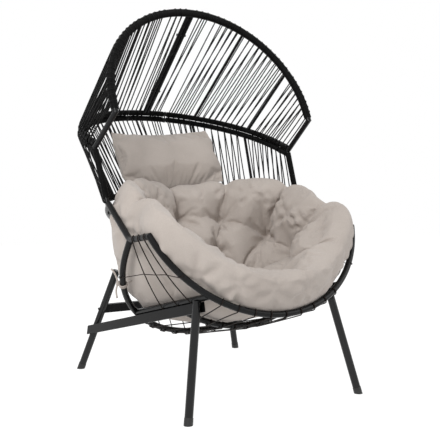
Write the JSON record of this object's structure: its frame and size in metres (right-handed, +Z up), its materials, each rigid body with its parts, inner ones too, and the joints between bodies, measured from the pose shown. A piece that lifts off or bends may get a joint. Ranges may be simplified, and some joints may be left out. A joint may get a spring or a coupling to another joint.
{
  "type": "lounge armchair",
  "caption": "Egg-shaped lounge armchair with a strung wicker hood and back, bent tube bowl seat, splayed legs, tufted seat cushion and head pillow",
  "frame": {"origin": "on the floor, under the centre of the bounding box", "axes": "+Z up, +X to the sitter's left, the sitter faces -Y"},
  "size_m": [0.8858, 1.0799, 1.435],
  "materials": {
    "frame": "satin black powder coat",
    "legs": "satin black powder coat",
    "wicker": "woven resin wicker",
    "cord": "resin cord",
    "fastener": "blackened",
    "plastic": "moulded",
    "cushion": "woven polyester",
    "tie": "sewn tape"
  },
  "bodies": {
    "root": {"hood_arch_left": "frame", "hood_arch_right": "frame", "hood_side_bar_left": "frame", "hood_side_bar_right": "frame", "hood_rail_left": "frame", "hood_rail_right": "frame", "hood_centre_rib_left": "frame", "hood_centre_rib_right": "frame", "hood_rib_upper_left": "frame", "hood_rib_upper_right": "frame", "hood_rib_lower_left": "frame", "hood_rib_lower_right": "frame", "hood_weave_top_left": "wicker", "hood_weave_top_right": "wicker", "hood_weave_middle_left": "wicker", "hood_weave_middle_right": "wicker", "hood_weave_side_left": "wicker", "hood_weave_side_right": "wicker", "hood_bolts": "fastener", "back_top_rail": "frame", "back_post_left": "frame", "back_post_right": "frame", "back_bottom_rail": "frame", "back_rib_inner_left": "frame", "back_rib_inner_right": "frame", "back_rib_outer_left": "frame", "back_rib_outer_right": "frame", "back_weave_inner_left": "wicker", "back_weave_inner_right": "wicker", "back_weave_middle_left": "wicker", "back_weave_middle_right": "wicker", "back_weave_side_left": "wicker", "back_weave_side_right": "wicker", "back_seat_bolts": "fastener", "seat_back_rail": "frame", "seat_side_tube_left": "frame", "seat_side_tube_right": "frame", "front_hoop": "frame", "middle_hoop": "frame", "rear_hoop": "frame", "side_rail_left": "frame", "side_rail_right": "frame", "seat_cords_front": "cord", "seat_cords_middle": "cord", "seat_cords_rear": "cord", "seat_cords_left": "cord", "seat_cords_right": "cord", "front_leg_left": "legs", "front_leg_right": "legs", "rear_leg_left": "legs", "rear_leg_right": "legs", "side_beam_left": "legs", "side_beam_right": "legs", "rear_cross_beam": "legs", "leg_caps": "plastic", "beam_bolts": "fastener", "cross_beam_bolts": "fastener", "seat_cushion": "cushion", "head_pillow": "cushion", "cushion_ties": "tie"}
  },
  "joints": []
}
